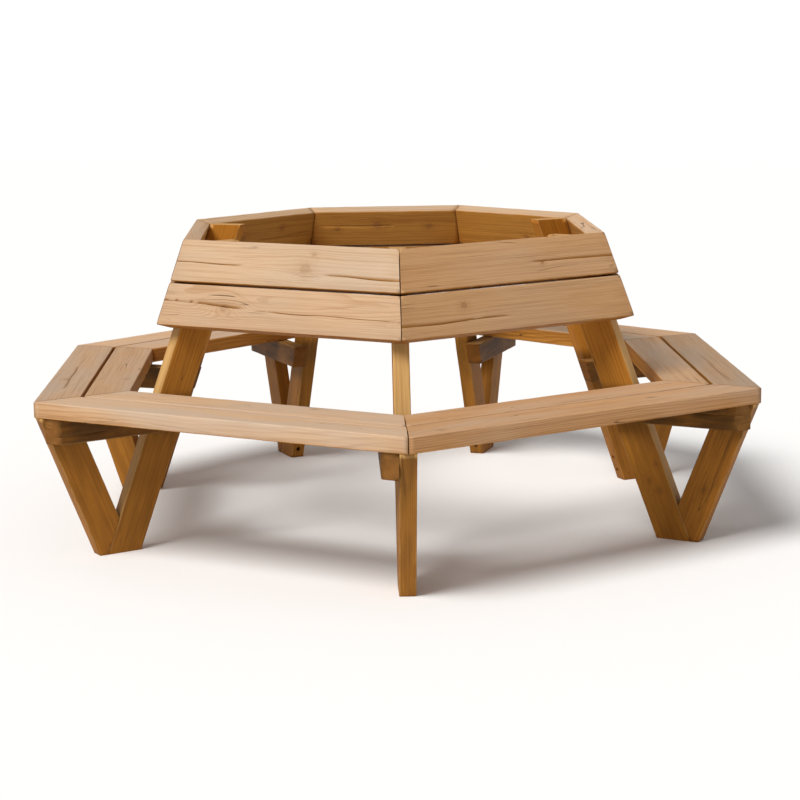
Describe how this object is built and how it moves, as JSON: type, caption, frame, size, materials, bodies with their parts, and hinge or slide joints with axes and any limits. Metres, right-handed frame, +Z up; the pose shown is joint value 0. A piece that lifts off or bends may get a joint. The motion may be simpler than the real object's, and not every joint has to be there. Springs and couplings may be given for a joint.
{
  "type": "tree bench",
  "caption": "Timber ring bench with a closed seat and an inward-leaning slatted backrest on V-shaped legs, for standing around a tree.",
  "frame": {"origin": "on the ring's upright axis, where every mitre plane meets, at ground level", "axes": "+Z up along the axis, -Y towards the front corner, +X to the right when facing the front corner"},
  "size_m": [1.983, 2.1323, 0.8592],
  "materials": {
    "seat_wood": "oiled",
    "back_wood": "oiled",
    "leg_wood": "oiled",
    "bearer_wood": "oiled",
    "dowel_wood": "plain",
    "zinc_steel": "satin"
  },
  "bodies": {
    "root": {"back_screws": "zinc_steel", "bearer_screws": "zinc_steel", "foot_screws": "zinc_steel", "leg1_bearer": "bearer_wood", "leg1_post": "leg_wood", "leg1_strut": "leg_wood", "leg2_bearer": "bearer_wood", "leg2_post": "leg_wood", "leg2_strut": "leg_wood", "leg3_bearer": "bearer_wood", "leg3_post": "leg_wood", "leg3_strut": "leg_wood", "leg4_bearer": "bearer_wood", "leg4_post": "leg_wood", "leg4_strut": "leg_wood", "leg5_bearer": "bearer_wood", "leg5_post": "leg_wood", "leg5_strut": "leg_wood", "leg6_bearer": "bearer_wood", "leg6_post": "leg_wood", "leg6_strut": "leg_wood", "leg7_bearer": "bearer_wood", "leg7_post": "leg_wood", "leg7_strut": "leg_wood", "mitre_dowels": "dowel_wood", "mitre_plates": "zinc_steel", "plate_screws": "zinc_steel", "seat_screws": "zinc_steel", "side1_back_lower": "back_wood", "side1_back_upper": "back_wood", "side1_seat_inner": "seat_wood", "side1_seat_outer": "seat_wood", "side2_back_lower": "back_wood", "side2_back_upper": "back_wood", "side2_seat_inner": "seat_wood", "side2_seat_outer": "seat_wood", "side3_back_lower": "back_wood", "side3_back_upper": "back_wood", "side3_seat_inner": "seat_wood", "side3_seat_outer": "seat_wood", "side4_back_lower": "back_wood", "side4_back_upper": "back_wood", "side4_seat_inner": "seat_wood", "side4_seat_outer": "seat_wood", "side5_back_lower": "back_wood", "side5_back_upper": "back_wood", "side5_seat_inner": "seat_wood", "side5_seat_outer": "seat_wood", "side6_back_lower": "back_wood", "side6_back_upper": "back_wood", "side6_seat_inner": "seat_wood", "side6_seat_outer": "seat_wood", "side7_back_lower": "back_wood", "side7_back_upper": "back_wood", "side7_seat_inner": "seat_wood", "side7_seat_outer": "seat_wood"}
  },
  "joints": []
}
